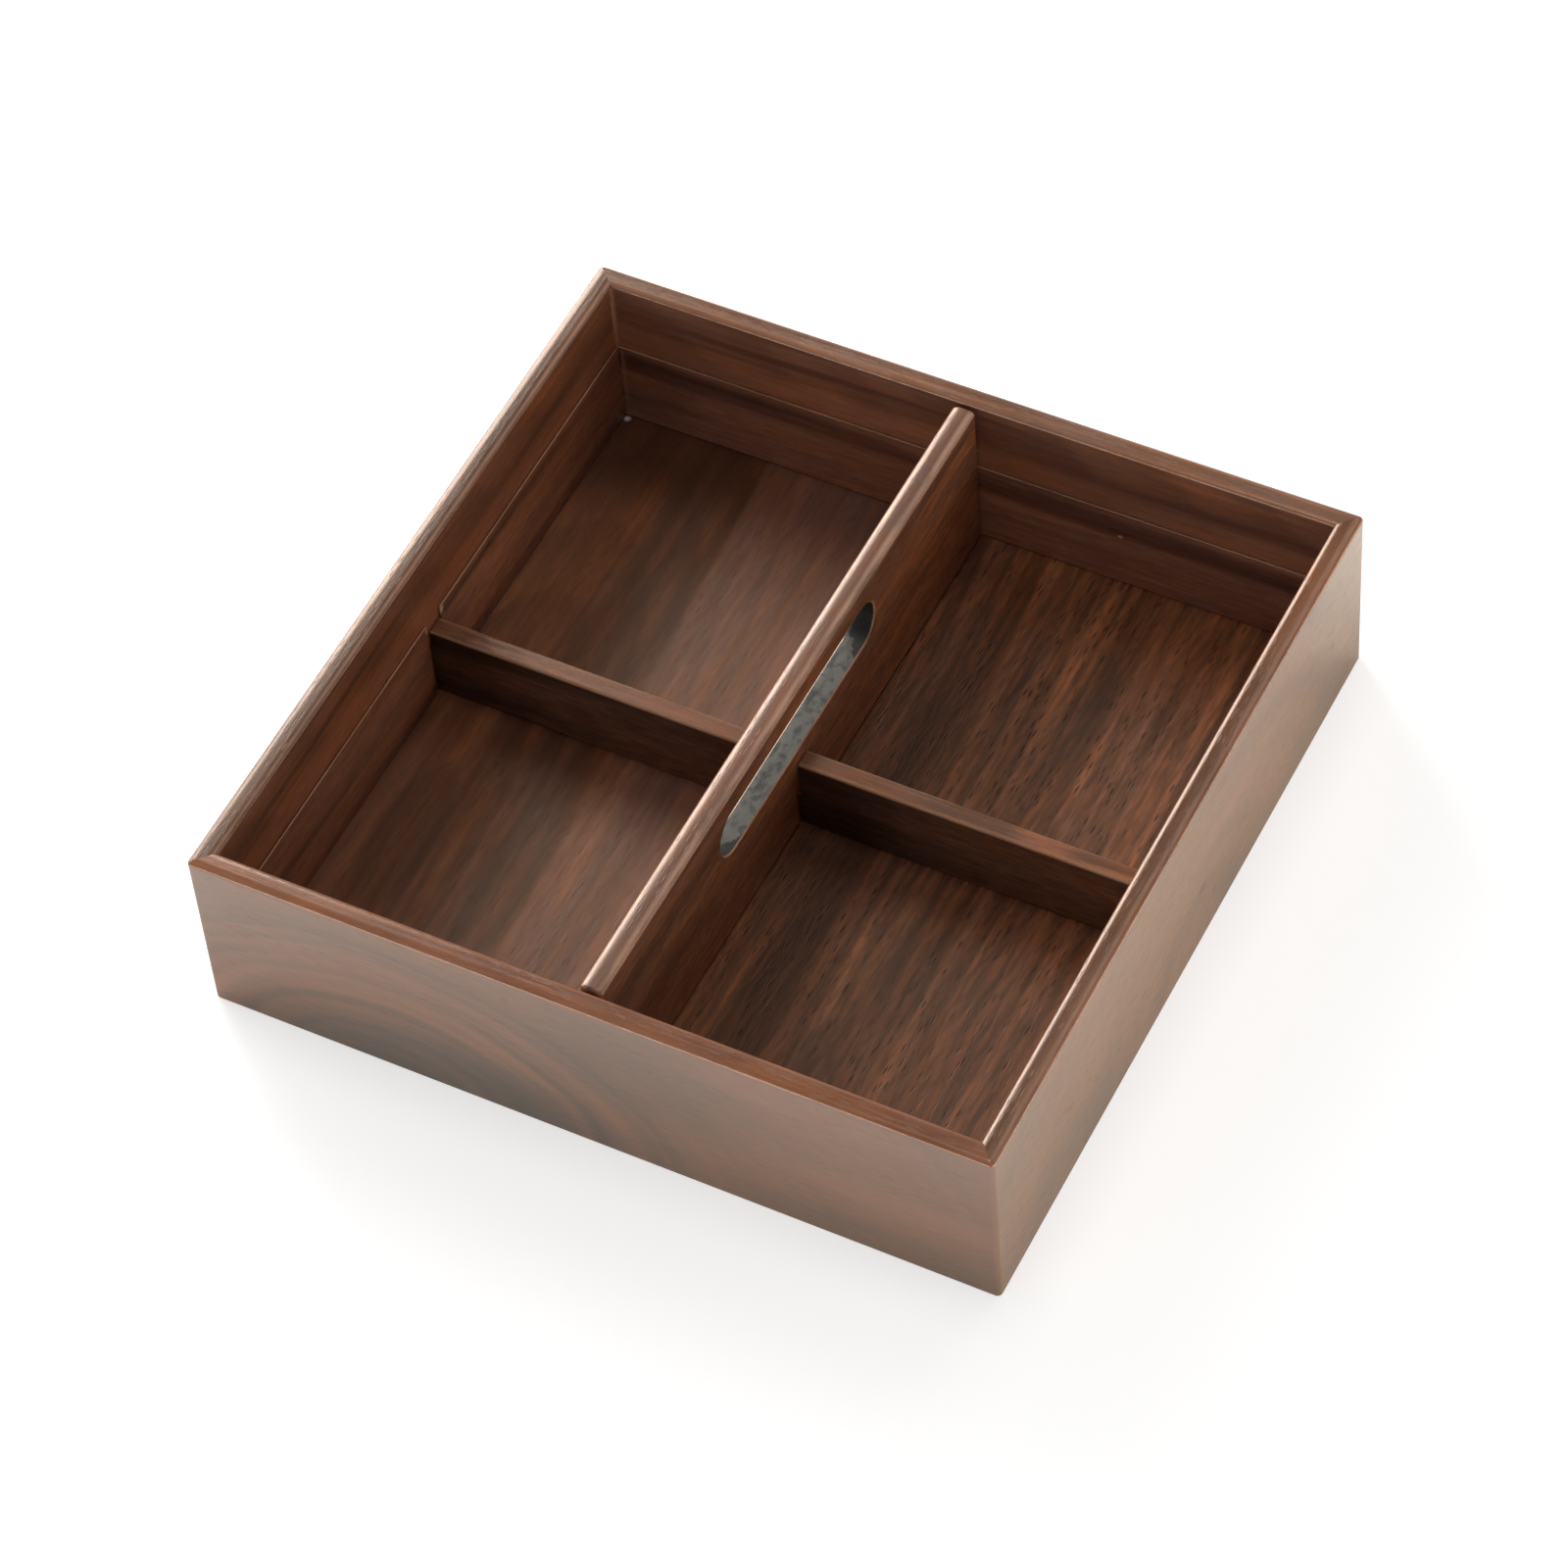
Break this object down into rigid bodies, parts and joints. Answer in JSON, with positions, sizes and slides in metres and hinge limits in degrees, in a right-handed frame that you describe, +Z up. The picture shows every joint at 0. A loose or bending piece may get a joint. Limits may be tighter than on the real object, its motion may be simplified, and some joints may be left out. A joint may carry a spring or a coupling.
{
  "type": "snack tray",
  "caption": "Square open wooden tray with mitred walls and a low cross-shaped divider that lifts out by a long finger slot in its taller board.",
  "frame": {"origin": "centre of the base, on the surface that the tray stands on", "axes": "+X to the right along the front wall, +Y from the front wall to the back wall along the long divider, +Z up"},
  "size_m": [0.26, 0.26, 0.066],
  "materials": {
    "wall_walnut": "satin",
    "floor_walnut": "satin",
    "lining_walnut": "satin",
    "divider_walnut": "satin"
  },
  "bodies": {
    "tray": {"front_wall": "wall_walnut", "back_wall": "wall_walnut", "left_wall": "wall_walnut", "right_wall": "wall_walnut", "floor_panel": "floor_walnut", "front_lining": "lining_walnut", "back_lining": "lining_walnut", "left_lining_front": "lining_walnut", "left_lining_back": "lining_walnut", "right_lining_front": "lining_walnut", "right_lining_back": "lining_walnut"},
    "divider_cross": {"long_divider": "divider_walnut", "cross_divider": "divider_walnut"}
  },
  "joints": [
    {"name": "cross_lift", "type": "slide", "parent": "tray", "child": "divider_cross", "axis": [0, 0, 1], "range_m": [0, 0.075]}
  ]
}
